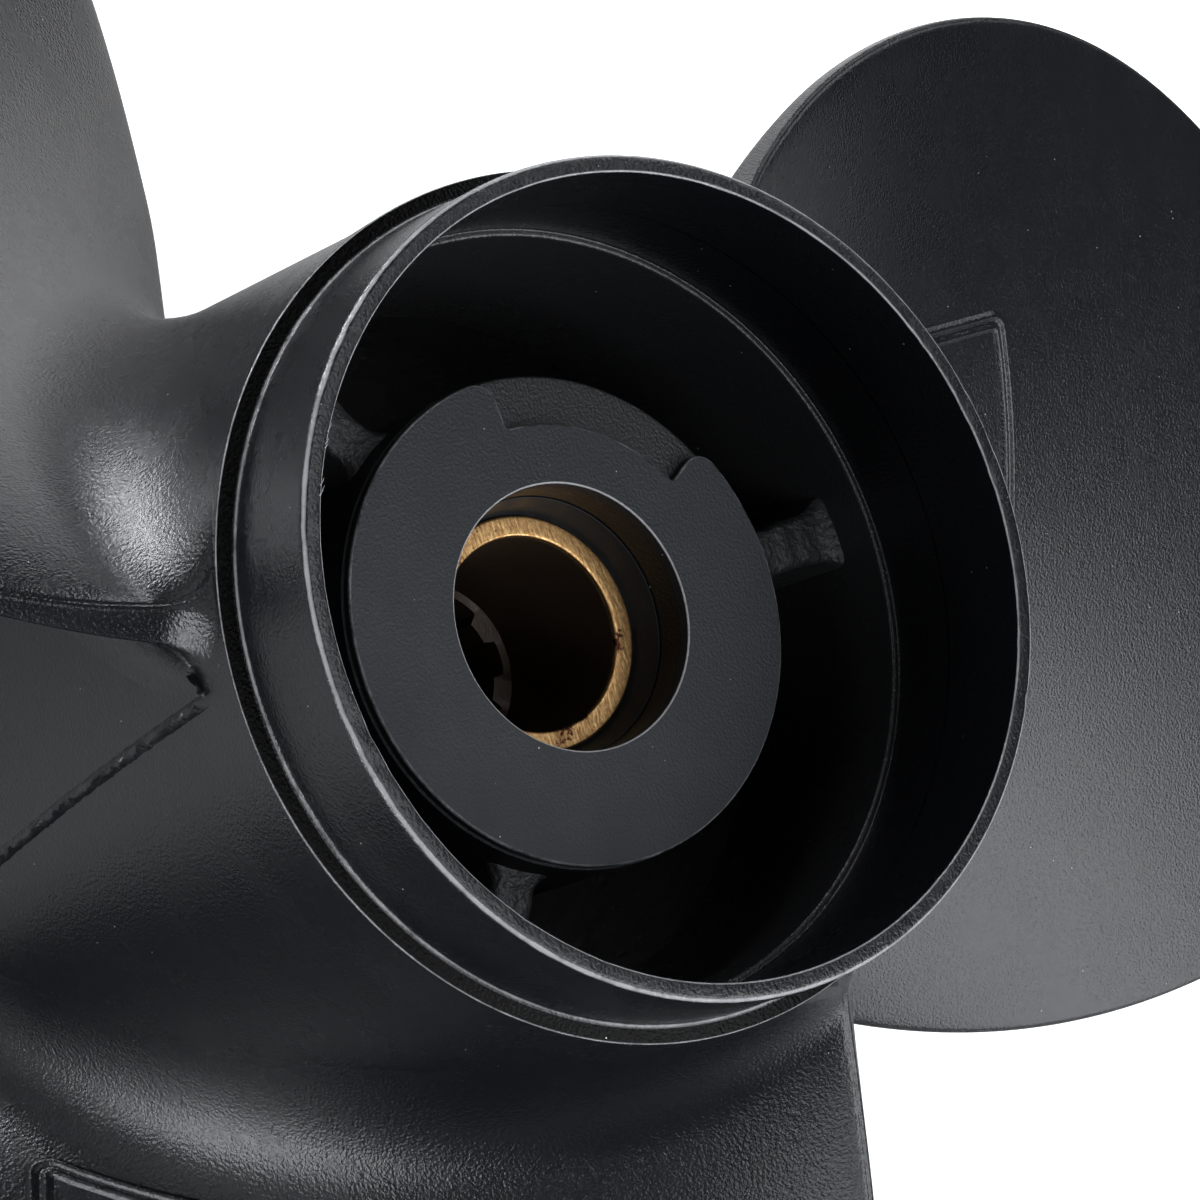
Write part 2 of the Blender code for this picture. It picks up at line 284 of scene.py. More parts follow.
paintLook = {
    "colour": (0.0045, 0.005, 0.0062, 1), "roughness": 0.27, "grain": 0.26, "peel": 0.065, "wave": 0.06,
    # the light edge tint is worn paint and a painted highlight in one
    "worn": (0.34, 0.34, 0.345, 1), "dustColour": (0.5, 0.5, 0.48, 1), "dustSpacing": 1.7, "speck": 0.09,
    "mottle": 0.2, "film": (0.017, 0.0175, 0.0185, 1), "filmRadius": 29.9,  # painted light: the tone is lighter inside this radius, past the depth below
    "filmDepth": 16.0,
    "grimeDepth": (9.07, 9.22), "grime": (0.006, 0.006, 0.006, 1),  # painted shade: a dark band in the step at the collar's foot
}
faceLook = dict(paintLook, colour=(0.0092, 0.012, 0.0148, 1), roughness=0.62, grain=0.25, peel=0.1, mottle=1.8,
                film=(0.0092, 0.012, 0.0148, 1))
# painted shade: the hub body takes a darker inside tone
hubLook = dict(paintLook, film=(0.003, 0.0035, 0.004, 1), roughness=0.5, peel=0.12)
roughLook = dict(paintLook, colour=(0.014, 0.0145, 0.015, 1), roughness=0.5, grain=0.5, peel=0.22, mottle=0.8)


def paintMaterial(name, look):
    made = bpy.data.materials.new(name)
    made.use_nodes = True
    tree = made.node_tree
    shader = tree.nodes["Principled BSDF"]
    # marked edges turn light: worn paint, and painted highlight
    edge = place(tree, "ShaderNodeAttribute", {"attribute_name": "markShare"}).outputs["Fac"]
    worn = placeGroup(tree, "worn", Edge=edge, Patchiness=0.55)
    dust = placeGroup(tree, "dust", Spacingmm=look["dustSpacing"], Speckmm=look["speck"])
    shade = placeGroup(tree, "mottle", Patchmm=0.9, Contrast=look["mottle"])
    base = place(tree, "ShaderNodeVectorMath", {"operation": "SCALE"}, Vector=look["colour"][:3], Scale=shade)
    place3d = place(tree, "ShaderNodeTexCoord").outputs["Object"]
    flat = place(tree, "ShaderNodeVectorMath", {"operation": "MULTIPLY"}, Vector=place3d)
    flat.inputs[1].default_value = (1, 1, 0)
    outward = place(tree, "ShaderNodeVectorMath", {"operation": "LENGTH"}, Vector=flat.outputs[0]).outputs["Value"]
    # painted light and shade inside the barrel: lighter on the inner wall and webs, darker on the hub body
    inside = between(tree, outward, look["filmRadius"] * mm, (look["filmRadius"] - 0.5) * mm)
    depth = calculate(tree, "SUBTRACT", rimHeight * mm, place(tree, "ShaderNodeSeparateXYZ", Vector=place3d).outputs["Z"])
    deep = between(tree, depth, (look["filmDepth"] - 0.3) * mm, look["filmDepth"] * mm)
    film = mixColours(tree, calculate(tree, "MULTIPLY", inside, deep), base.outputs[0], look["film"])
    first, last = look["grimeDepth"]
    grime = calculate(tree, "MULTIPLY", between(tree, depth, (first - 0.03) * mm, first * mm),
                      between(tree, depth, (last + 0.03) * mm, last * mm))
    tree.links.new(grime, shader.inputs["Metallic"])  # painted shade: as a dark metal the band has no gloss of its own
    wornAndHighlighted = mixColours(tree, worn, film, look["worn"])
    # painted shade mixed into the paint colour
    filled = mixColours(tree, grime, wornAndHighlighted, look["grime"])
    tree.links.new(mixColours(tree, dust, filled, look["dustColour"]), shader.inputs["Base Color"])
    wide = placeGroup(tree, "mottle", Patchmm=5.0, Contrast=0.35)
    rough = calculate(tree, "MULTIPLY", wide, look["roughness"])
    rough = calculate(tree, "SUBTRACT", rough, calculate(tree, "MULTIPLY", worn, 0.08))
    tree.links.new(rough, shader.inputs["Roughness"])
    peel = placeGroup(tree, "peel", GrainSizemm=look["grain"], Waviness=look["wave"])
    bump = place(tree, "ShaderNodeBump", Height=peel, Strength=1.0, Distance=look["peel"] * mm)
    tree.links.new(bump.outputs["Normal"], shader.inputs["Normal"])
    shader.inputs["IOR"].default_value = 1.5
    return made


rubberLook = {"colour": (0.009, 0.0105, 0.0125, 1), "roughness": 0.6, "dust": (0.25, 0.24, 0.22, 1)}


def rubberMaterial():
    made = bpy.data.materials.new("matte black rubber")
    made.use_nodes = True
    tree = made.node_tree
    shader = tree.nodes["Principled BSDF"]
    shade = placeGroup(tree, "mottle", Patchmm=1.6, Contrast=0.9)
    base = place(tree, "ShaderNodeVectorMath", {"operation": "SCALE"}, Vector=rubberLook["colour"][:3], Scale=shade)
    dust = placeGroup(tree, "dust", Spacingmm=1.6, Speckmm=0.1)
    tree.links.new(mixColours(tree, dust, base.outputs[0], rubberLook["dust"]), shader.inputs["Base Color"])
    rough = calculate(tree, "MULTIPLY", shade, rubberLook["roughness"])
    tree.links.new(rough, shader.inputs["Roughness"])
    peel = placeGroup(tree, "peel", GrainSizemm=0.5, Waviness=0.6)
    bump = place(tree, "ShaderNodeBump", Height=peel, Strength=1.0, Distance=0.03 * mm)
    tree.links.new(bump.outputs["Normal"], shader.inputs["Normal"])
    return made


brassLook = {
    "bright": (0.72, 0.46, 0.2, 1), "dull": (0.4, 0.22, 0.09, 1), "patina": (0.07, 0.022, 0.014, 1),
    "roughness": 0.34, "boreColour": (0.05, 0.032, 0.02, 1),
}


def brassMaterial():
    made = bpy.data.materials.new("machined brass")
    made.use_nodes = True
    tree = made.node_tree
    shader = tree.nodes["Principled BSDF"]
    place3d = place(tree, "ShaderNodeTexCoord").outputs["Object"]
    drawn = place(tree, "ShaderNodeMapping", Vector=place3d, Scale=(900.0, 4200.0, 500.0), Rotation=(0, 0, 0.7))
    scratch = place(tree, "ShaderNodeTexNoise", Vector=drawn.outputs[0], Scale=1.0, Detail=3.0).outputs["Fac"]
    grit = place(tree, "ShaderNodeTexNoise", Vector=place3d, Scale=3000.0, Detail=2.0).outputs["Fac"]
    tarnish = place(tree, "ShaderNodeTexNoise", Vector=place3d, Scale=330.0, Detail=4.0).outputs["Fac"]
    mixed = calculate(tree, "ADD", calculate(tree, "MULTIPLY", scratch, 0.6), calculate(tree, "MULTIPLY", grit, 0.4))
    lit = between(tree, mixed, 0.38, 0.62)
    metal = mixColours(tree, lit, brassLook["dull"], brassLook["bright"])
    spots = calculate(tree, "ADD", tarnish, calculate(tree, "MULTIPLY", grit, 0.35))
    stained = mixColours(tree, between(tree, spots, 0.76, 0.86), metal, brassLook["patina"])
    bore = place(tree, "ShaderNodeAttribute", {"attribute_name": "markShare"}).outputs["Fac"]
    tree.links.new(mixColours(tree, bore, stained, brassLook["boreColour"]), shader.inputs["Base Color"])
    tree.links.new(between(tree, bore, 0.0, 1.0, 1.0, 0.35), shader.inputs["Metallic"])
    tree.links.new(between(tree, mixed, 0.3, 0.7, 0.5, brassLook["roughness"]), shader.inputs["Roughness"])
    bump = place(tree, "ShaderNodeBump", Height=mixed, Strength=1.0, Distance=0.05 * mm)
    tree.links.new(bump.outputs["Normal"], shader.inputs["Normal"])
    return made


satinBlack = paintMaterial("satin black paint", paintLook)
matteFace = paintMaterial("matte machined face", faceLook)
castHub = paintMaterial("cast hub paint", hubLook)
roughCast = paintMaterial("rough cast web", roughLook)
rubberSkin = rubberMaterial()
sleeveBrass = brassMaterial()
report("materials made")


# Barrel, with its stepped collar

barrel = {
    "outside": [  # radius, depth, fillet, front to rear
        (30.5, 0.0, 0.5), (30.72, 5.2, 6.0), (31.02, 9.02, 0.45), (32.42, 9.24, 0.22), (32.5, 16.0, 20.0),
        (34.6, 50.0, 60.0), (35.2, 74.0, 20.0), (37.35, 86.0, 0.5),
    ],
    "inside": [  # rear to front
        (34.9, 86.0, 0.5), (32.3, 74.0, 12.0), (29.4, 35.8, 0.15), (28.85, 35.8, 0.3), (29.4, 16.0, 0.25),
        (30.0, 16.0, 0.15), (29.1, 0.0, 0.22),
    ],
    "segments": 480, "chipDepth": 0.22, "chipSize": 1.6,
    "wornLines": {0.3: 1.0, 8.8: 0.9, 9.3: 0.9, 35.9: 1.0},  # depth of an edge and how strong its light tint is: painted highlight lines, with rubbed-bare paint on the rim
    # painted highlight: the ledge inside the barrel gets a light line
    "wornLedge": 16.0, "ledgeShare": 0.4,
}


def chippedRim(radius, depth, angle):
    # small chips and dents along the rim's edges
    if depth > 0.9:
        return 0.0, 0.0
    around = Vector((math.cos(angle), math.sin(angle), 0.0)) * 30.0
    chip = max(0.0, noise.noise(around / barrel["chipSize"] + Vector((radius, 0, 7.0))) - 0.25)
    dent = noise.noise(around / 9.0) * 0.05
    return 0.0, barrel["chipDepth"] * chip + max(0.0, dent)


def lineWearAndHighlight(depth):
    return max([share for line, share in barrel["wornLines"].items() if abs(depth - line) < 0.31] + [0.0])


barrelLoop = roundedLoop(barrel["outside"] + barrel["inside"])
barrelLoop = [(radius, depth, edge * lineWearAndHighlight(depth)) for radius, depth, edge in barrelLoop]
onLedge = [radius < 30.1 and abs(depth - barrel["wornLedge"]) < 0.26 for radius, depth, _ in barrelLoop]
barrelLoop = [(*spot[:2], barrel["ledgeShare"]) if on else spot for spot, on in zip(barrelLoop, onLedge)]
turnedPiece("barrel", barrelLoop, int(barrel["segments"] * detail), satinBlack, "casting",
            wobble=chippedRim)
barrelSkin = roundedLoop(barrel["outside"], closed=False)


def barrelRadius(depth):
    for (r0, d0, _), (r1, d1, _) in zip(barrelSkin, barrelSkin[1:]):
        if d0 <= depth <= d1:
            return r0 + (r1 - r0) * (depth - d0) / max(d1 - d0, 1e-6)
    return barrelSkin[-1][0] if depth > 50 else barrelSkin[0][0]


report("barrel turned")


# Inner hub: a turned body, a face plate with the bare sunk pad, and three webs

hub = {
    "faceDepth": 16.0, "floorDepth": 17.1, "rearDepth": 70.0, "faceRadius": 18.75, "bodyRadius": 18.8,
    "middleRadius": 19.4, "noseHole": 10.15, "lipRear": 20.4, "bushBore": 15.0, "edge": 0.2, "holeEdge": 0.16,
    "padInner": 14.75, "padStart": 119.8, "padEnd": 180.0, "lobe": 1.8, "padCorner": 0.35, "segments": 256,
}


def hubBody():
    corners = [
        (hub["noseHole"], hub["floorDepth"], 0.05), (hub["bodyRadius"], hub["floorDepth"], 0.25),
        (hub["middleRadius"], 43.0, 40.0), (hub["faceRadius"], hub["rearDepth"], 0.5),
        (hub["bushBore"], hub["rearDepth"], 0.4), (hub["bushBore"], hub["lipRear"], 0.3),
        (hub["noseHole"], hub["lipRear"], 0.15),
    ]
    segments = int(hub["segments"] * detail)
    loop = [(radius, depth, 0.0) for radius, depth, _ in roundedLoop(corners)]
    return turnedPiece("inner_hub", loop, segments, castHub, "casting")


def platePlan():
    # outline of the face, notched by the pad; worked out flat, then bent round the axis
    flat = 17.0
    start, end = math.radians(hub["padStart"]) * flat, math.radians(hub["padEnd"]) * flat
    around = 2 * math.pi * flat
    corners = [
        (end, hub["padInner"], hub["padCorner"]), (end, hub["faceRadius"], hub["lobe"]),
        (around + start, hub["faceRadius"], hub["lobe"]), (around + start, hub["padInner"], hub["padCorner"]),
    ]
    middle = 0.5 * (start + end)
    corners = [(middle, hub["padInner"], 0)] + corners + [(around + middle, hub["padInner"], 0)]
    path = roundedLoop(corners, closed=False, arcSteps=9, longest=0.7)[:-1]
    return [Vector((radius * math.cos(u / flat), radius * math.sin(u / flat))) for u, radius, _ in path]


def outwards(outline):
    found = []
    for i, point in enumerate(outline):
        along = (outline[(i + 1) % len(outline)] - outline[i - 1]).normalized()
        found.append(Vector((along.y, -along.x)))
    return found


def facePlate():
    outline = platePlan()
    normals = outwards(outline)
    edge, holeEdge = hub["edge"], hub["holeEdge"]
    face, floor = hub["faceDepth"], hub["floorDepth"]
    draft = hub["bodyRadius"] - hub["faceRadius"]
    rings = [(-2.5 * edge, face), (-1.2 * edge, face)]
    for k in range(7):
        turn = math.radians(15 * k)
        rings.append((edge * (math.sin(turn) - 1), face + edge * (1 - math.cos(turn))))
    rings += [(0.5 * draft, 0.5 * (face + floor)), (draft - 0.12, floor - 0.12), (draft + 0.05, floor)]
    rings.append((draft - 0.3, floor + 0.4))
    points, faces, markShare = [], [], []
    count = len(outline)
    for offset, depth in rings:
        for point, normal in zip(outline, normals):
            spot = point + normal * offset
            points.append((spot.x, spot.y, rimHeight - depth))
            # painted highlight with worn paint: the face's outer edge takes the light tint
            markShare.append(0.75 if -edge < offset < 0.01 else 0.0)
    for j in range(len(rings) - 1):
        low, high = j * count, (j + 1) * count
        faces += [(low + i, low + (i + 1) % count, high + (i + 1) % count, high + i) for i in range(count)]
    holeRings = [(3.0 * holeEdge, face), (1.3 * holeEdge, face)]
    for k in range(6):
        turn = math.radians(18 * k)
        holeRings.append((holeEdge * (1 - math.sin(turn)), face + holeEdge * (1 - math.cos(turn))))
    holeRings += [(0.0, floor - 0.2), (0.02, floor + 0.4)]
    base = len(points)
    for offset, depth in holeRings:
        for point in outline:
            radius = hub["noseHole"] + offset
            x, y, z = polar(radius, math.atan2(point.y, point.x), depth)
            points.append((x, y, z))
            # painted highlight with worn paint: the nose hole's edge takes the light tint
            markShare.append(1.0 if 0.0 < offset < holeEdge and depth < floor - 0.5 else 0.0)
    for j in range(len(holeRings) - 1):
        low, high = base + j * count, base + (j + 1) * count
        faces += [(low + i, high + i, high + (i + 1) % count, low + (i + 1) % count) for i in range(count)]
    lastOuter, lastHole = (len(rings) - 1) * count, base + (len(holeRings) - 1) * count
    front = [list(range(count)), list(range(base, base + count))]
    rear = [list(range(lastOuter, lastOuter + count)), list(range(lastHole, lastHole + count))]
    return addPiece("hub_face", points, faces, matteFace, "casting", markShare, flats=(front, rear))


web = {
    "frontDepth": 20.2, "rearDepth": 69.0, "innerRadius": 17.8, "outerRadius": 31.0, "width": 3.3,
    "outerWidth": 4.6, "flare": 1.6, "roundness": 0.9, "rough": 0.22,
}


def hubWeb(name, angle):
    along, around = 30, 14
    inner, outer = web["innerRadius"], web["outerRadius"]
    points, faces = [], []
    for i in range(along + 1):
        share = i / along
        radius = inner + (outer - inner) * share
        toHub = max(0.0, 1 - (radius - hub["faceRadius"]) / web["flare"])
        toBarrel = max(0.0, 1 - (29.2 - radius) / web["flare"])
        flare = web["flare"] * 0.6 * (min(1.0, toHub) ** 2 + min(1.0, toBarrel) ** 2)
        half = 0.5 * (web["width"] + (web["outerWidth"] - web["width"]) * share) + flare
        front = web["frontDepth"] - 0.4 * flare + 0.5 * math.sin(math.pi * share)
        ring = [(-half, web["rearDepth"])]
        for k in range(around + 1):
            turn = math.pi * k / around
            ring.append((-half + web["roundness"] * (1 - math.cos(turn)) if k <= around / 2 else
                         half - web["roundness"] * (1 + math.cos(turn)),
                         front + web["roundness"] * (1 - math.sin(turn))))
        ring.append((half, web["rearDepth"]))
        for across, depth in ring:
            spot = Vector((radius, across, depth)) * 0.9
            shift = noise.noise_vector(spot) * web["rough"] if depth < 30 else Vector((0, 0, 0))
            x, y = radius + 0.3 * shift.x, across + shift.y
            turned = (x * math.cos(angle) - y * math.sin(angle), x * math.sin(angle) + y * math.cos(angle))
            points.append((*turned, rimHeight - depth + shift.z))
    size = around + 3
    for i in range(along):
        low, high = i * size, (i + 1) * size
        faces += [(low + j, low + (j + 1) % size, high + (j + 1) % size, high + j) for j in range(size)]
    faces.append(tuple(range(size)))
    faces.append(tuple(along * size + j for j in reversed(range(size))))
    return addPiece(name, points, faces, roughCast, "casting")


bladeAngles = [math.radians(90 + 120 * k) for k in range(3)]
hubBody()
facePlate()
for index, angle in enumerate(bladeAngles):
    hubWeb("hub_web_%d" % (index + 1), angle)
report("hub and webs made")


# Blades: right-handed, with blunt rounded edges and root fillets that run out onto the barrel

blade = {
    "tipRadius": 119.9, "pitch": 243.0, "middleHeight": 38.7, "rootRadius": 33.6,
    "leading": (48.4, 33.5, 14.0), "trailing": (-46.4, 7.7, 12.7),  # root angle, sweep, curl, in degrees
    "pinch": 2.35, "pinchShare": 1 / 6, "leadPinch": 2.95, "rootShare": 0.161,
    "rootLift": 5.2, "liftShare": 0.101, "liftSpan": (-0.6, 1.0),  # the front side stands up towards the leading edge
    "roundingStart": 0.86, "roundingPower": 2.2, "tipShare": 0.1,
    "rootThickness": 5.6, "tipThickness": 1.9, "rootEdge": 3.6, "tipEdge": 1.0, "edgeFade": 11.0, "tailEdge": 2.2,
    "fullness": 2.4, "topDepth": 9.5, "topEase": 1.5,  # the root stays behind the barrel's shoulder
    "sideFillet": 9.0, "endFillet": 2.6, "corner": 0.4, "chordSteps": 76, "filletSteps": 14, "spanSteps": 62,
    "tipSteps": 24,
}
bladeSpan = blade["tipRadius"] - blade["rootRadius"]
pitchPerTurn = blade["pitch"] / (2 * math.pi)


def bladeEdges(share):
    share = max(0.0, share)
    root, sweep, curl = blade["leading"]
    leading = root - sweep * share - curl * share ** 5 - blade["leadPinch"] * math.exp(-share / blade["rootShare"])
    root, sweep, curl = blade["trailing"]
    pinch = share / blade["pinchShare"] * math.exp(1 - share / blade["pinchShare"])
    trailing = root + sweep * share + curl * share ** 2 + blade["pinch"] * pinch
    if share > blade["roundingStart"]:
        closing = min(1.0, (share - blade["roundingStart"]) / (1 - blade["roundingStart"]))
        arc = math.sqrt(max(0.0, 1 - closing ** blade["roundingPower"]))
        half = 0.5 * (leading - trailing) * (blade["tipShare"] + (1 - blade["tipShare"]) * arc)
        middle = 0.5 * (leading + trailing)
        leading, trailing = middle + half, middle - half
    return math.radians(leading), math.radians(trailing)


def sectionLoop():
    # (position along the chord from -1 to 1, side, push out along the chord, push out sideways)
    steps = int(blade["chordSteps"] * detail)
    spots = [-math.cos(math.pi * k / steps) for k in range(steps + 1)]
    cap = [math.radians(18 * k) for k in range(1, 6)]
    loop = [(spot, 1, 0.0, 1.0) for spot in spots]
    loop += [(1, 1, math.sin(turn), math.cos(turn)) for turn in cap]
    loop += [(1, -1, math.sin(turn), math.cos(turn)) for turn in reversed(cap)]
    loop += [(spot, -1, 0.0, 1.0) for spot in reversed(spots)]
    loop += [(-1, -1, math.sin(turn), math.cos(turn)) for turn in cap]
    loop += [(-1, 1, math.sin(turn), math.cos(turn)) for turn in reversed(cap)]
    return loop


def bladePoint(spot, side, outChord, outSide, reach, rise):
    share = rise / bladeSpan
    radius = blade["rootRadius"] + rise
    leading, trailing = bladeEdges(share)
    slope = math.atan2(pitchPerTurn, radius)
    share = min(1.0, max(0.0, share))
    full = blade["rootThickness"] + (blade["tipThickness"] - blade["rootThickness"]) * share ** 0.8
    leadEdge = blade["tipEdge"] + (blade["rootEdge"] - blade["tipEdge"]) * math.exp(-rise / blade["edgeFade"])
    tailEdge = blade["tailEdge"] + (blade["tipEdge"] - blade["tailEdge"]) * share ** 0.5
    edge = tailEdge + (leadEdge - tailEdge) * smooth(-0.5, 0.5, spot)
    tipRound = 0.7 * edge
    past = max(0.0, rise - (bladeSpan - tipRound)) / tipRound
    thin = max(0.15, math.sqrt(max(0.0, 1 - min(1.0, past) ** 2)))
    corner = min(blade["corner"], 0.45 * edge) * thin
    bulge = math.sqrt(max(0.0, 1 - abs(spot) ** blade["fullness"]))
    half = 0.5 * (edge + (full - edge) * bulge) * thin
    if outChord:
        half = 0.5 * edge * thin - corner + corner * outSide
    half += reach * outSide
    chordHalf = 0.5 * (leading - trailing) * radius / math.cos(slope)
    along = spot * (chordHalf - corner) + math.copysign(outChord, spot) * (corner + reach)
    middle = 0.5 * (leading + trailing)
    height = blade["middleHeight"] + pitchPerTurn * middle + along * math.sin(slope) + side * half * math.cos(slope)
    height += blade["rootLift"] * math.exp(-share / blade["liftShare"]) * smooth(*blade["liftSpan"], spot)
    ceiling, ease = rimHeight - blade["topDepth"], blade["topEase"]
    if height > ceiling - ease:
        height = ceiling - ease * math.exp((ceiling - ease - height) / ease)
    hold = 1 - smooth(0.0, 2 * blade["sideFillet"], rise)
    seat = radius + hold * (barrelRadius(rimHeight - height) - blade["rootRadius"])
    angle = middle + (along * math.cos(slope) - side * half * math.sin(slope)) / seat
    return seat * math.cos(angle), seat * math.sin(angle), height


def bladeRings(spot):
    # (reach of the fillet, rise above the barrel) from below the barrel's skin to the tip
    bulge = math.sqrt(max(0.0, 1 - abs(spot) ** blade["fullness"]))
    fillet = blade["endFillet"] + (blade["sideFillet"] - blade["endFillet"]) * bulge
    rings = [(fillet * 0.98, -1.4), (fillet * 1.1, -0.2)]
    steps = int(blade["filletSteps"] * detail)
    for k in range(steps + 1):
        turn = 0.5 * math.pi * k / steps
        rings.append((fillet * (1 - math.sin(turn)), fillet * (1 - math.cos(turn))))
    steps = int(blade["spanSteps"] * detail)
    start = 0.84
    rings += [(0.0, fillet + (bladeSpan - fillet) * start * k / steps) for k in range(1, steps + 1)]
    steps = int(blade["tipSteps"] * detail)
    for k in range(1, steps + 1):
        share = start + (1 - start) * math.sin(0.5 * math.pi * k / steps)
        rings.append((0.0, fillet + (bladeSpan - fillet) * share))
    return rings


def bladePiece(name, angle):
    loop = sectionLoop()
    columns = [[bladePoint(*spot, *ring) for ring in bladeRings(spot[0])] for spot in loop]
    size, rings = len(loop), len(columns[0])
    turn = Matrix.Rotation(angle, 3, "Z")
    points = [turn @ Vector(columns[i][j]) for j in range(rings) for i in range(size)]
    faces = []
    for j in range(rings - 1):
        low, high = j * size, (j + 1) * size
        faces += [(low + i, low + (i + 1) % size, high + (i + 1) % size, high + i) for i in range(size)]
    for base in (0, (rings - 1) * size):
        for i in range(-5, size // 2 - 6):  # pairs each point with the one across the section
            ends = (i, i + 1, size - 12 - i, size - 11 - i)
            faces.append([base + k % size for k in ends])
    return addPiece(name, points, faces, satinBlack, "casting", sharpAngle=60.0)


for index, angle in enumerate(bladeAngles):
    bladePiece("blade_%d" % (index + 1), angle)
report("blades made")


# Raised work on the casting: a double-ridged bare frame on two of the blades, mould lines and a few burrs

raisedFrame = {
    "inner": 43.4, "outer": 71.1, "leadSide": 13.8, "trailSide": -17.6, "corner": 1.2,
    "profile": [  # across the ridges and up, in millimetres
        (-1.15, -0.15), (-1.0, -0.02), (-0.85, 0.12), (-0.72, 0.3), (-0.55, 0.36), (-0.38, 0.3), (-0.24, 0.13),
        (-0.08, 0.07), (0.1, 0.13), (0.22, 0.26), (0.38, 0.31), (0.54, 0.26), (0.68, 0.1), (0.85, -0.02), (1.0, -0.15),
    ],
}


def bladeFront(radius, angle):
    # point on a blade's front side, with the blade's centre at angle 0
    rise = radius - blade["rootRadius"]
    leading, trailing = bladeEdges(rise / bladeSpan)
    spot = (2 * angle - leading - trailing) / (leading - trailing)
    for _ in range(3):  # the front side lies a little to one side of the section's own angle
        found = Vector(bladePoint(spot, 1, 0.0, 1.0, 0.0, rise))
        spot += 2 * (angle - math.atan2(found.y, found.x)) / (leading - trailing)
    return Vector(bladePoint(spot, 1, 0.0, 1.0, 0.0, rise))


def planFront(x, y):
    # the same, from a plan position: x out along the blade's centre, y towards its leading edge
    return bladeFront(math.hypot(x, y), math.atan2(y, x))


def framePath():
    lead, trail = raisedFrame["leadSide"], raisedFrame["trailSide"]
    path = []
    for radius, order in ((raisedFrame["inner"], 1), (raisedFrame["outer"], -1)):
        first, last = math.asin(trail / radius), math.asin(lead / radius)
        for k in range(13)[::order]:
            angle = first + (last - first) * k / 12
            bend = raisedFrame["corner"] if k in (0, 12) else 0.0
            path.append((radius * math.cos(angle), radius * math.sin(angle), bend))
    path = [(x, y, bend if bend else 0.01) for x, y, bend in path]
    return [Vector((x, y)) for x, y, _ in roundedLoop(path, arcSteps=6, longest=1.5)]


def bladeFrame(name, angle):
    path = framePath()
    normals = outwards(path)
    turn = Matrix.Rotation(angle, 3, "Z")
    points = []
    for spot, outward in zip(path, normals):
        for across, lift in raisedFrame["profile"]:
            x, y = spot + outward * across
            here = planFront(x, y)
            alongX, alongY = planFront(x + 0.2, y) - here, planFront(x, y + 0.2) - here
            points.append(turn @ (here + alongX.cross(alongY).normalized() * lift))
    size, count = len(raisedFrame["profile"]), len(path)
    faces = []
    for i in range(count):
        low, high = i * size, (i + 1) % count * size
        faces += [(low + j, low + (j + 1) % size, high + (j + 1) % size, high + j) for j in range(size)]
    return addPiece(name, points, faces, satinBlack, "casting", sharpAngle=75.0)


mouldLine = {
    "start": 13.0, "end": 79.0, "angle": 55.3, "drift": 0.19, "curl": 0.001,  # depths, then degrees
    "halfWidth": 0.75, "height": 0.34, "jag": 0.3, "steps": 150,
}
nib = {"depth": 13.9, "from": 50.3, "to": 55.5, "height": 0.55, "halfWidth": 0.2}
burrs = {"count": 5, "seed": 4, "length": 1.2, "radius": 0.06, "from": 236.0, "to": 246.0}


def ridge(name, path, halfWidth, height, jag):
    # path holds (angle, depth) along the barrel's skin; the crest wanders and breaks up
    points, faces, markShare = [], [], []
    across = (-1.0, -0.6, -0.3, 0.0, 0.3, 0.6, 1.0)
    shape = (-0.3, 0.25, 0.75, 1.0, 0.7, 0.25, -0.3)
    for i, (angle, depth) in enumerate(path):
        (a0, d0), (a1, d1) = path[max(0, i - 1)], path[min(len(path) - 1, i + 1)]
        along = Vector(((a1 - a0) * barrelRadius(depth), d1 - d0)).normalized()
        ends = smooth(0, 4, i) * smooth(0, 4, len(path) - 1 - i)
        for side, lift in zip(across, shape):
            stray = noise.noise(Vector((depth * 1.7, angle * 60.0, side * 0.7))) * jag
            rough = 1.0 + 0.8 * noise.noise(Vector((depth * 2.3, side * 2.0, angle * 50.0)))
            offset = side * halfWidth + stray * (1 - abs(side))
            here = angle + offset * along.y / barrelRadius(depth)
            back = depth - offset * along.x
            radius = barrelRadius(back) + (height * lift * rough * ends if lift > 0 else -0.15)
            points.append(polar(radius, here, back))
            # painted highlight with worn flash: the crest takes the light tint
            markShare.append(0.55 * ends if lift > 0.9 else 0.0)
    size = len(across)
    for i in range(len(path) - 1):
        low, high = i * size, (i + 1) * size
        faces += [(low + j, low + (j + 1) % size, high + (j + 1) % size, high + j) for j in range(size)]
    faces += [tuple(range(size)), tuple((len(path) - 1) * size + j for j in reversed(range(size)))]
    return addPiece(name, points, faces, satinBlack, "casting", markShare)


def mouldPath(centre):
    path = []
    for k in range(mouldLine["steps"] + 1):
        run = (mouldLine["end"] - mouldLine["start"]) * k / mouldLine["steps"]
        angle = mouldLine["angle"] + mouldLine["drift"] * run + mouldLine["curl"] * run * run
        path.append((centre + math.radians(angle), mouldLine["start"] + run))
    return path


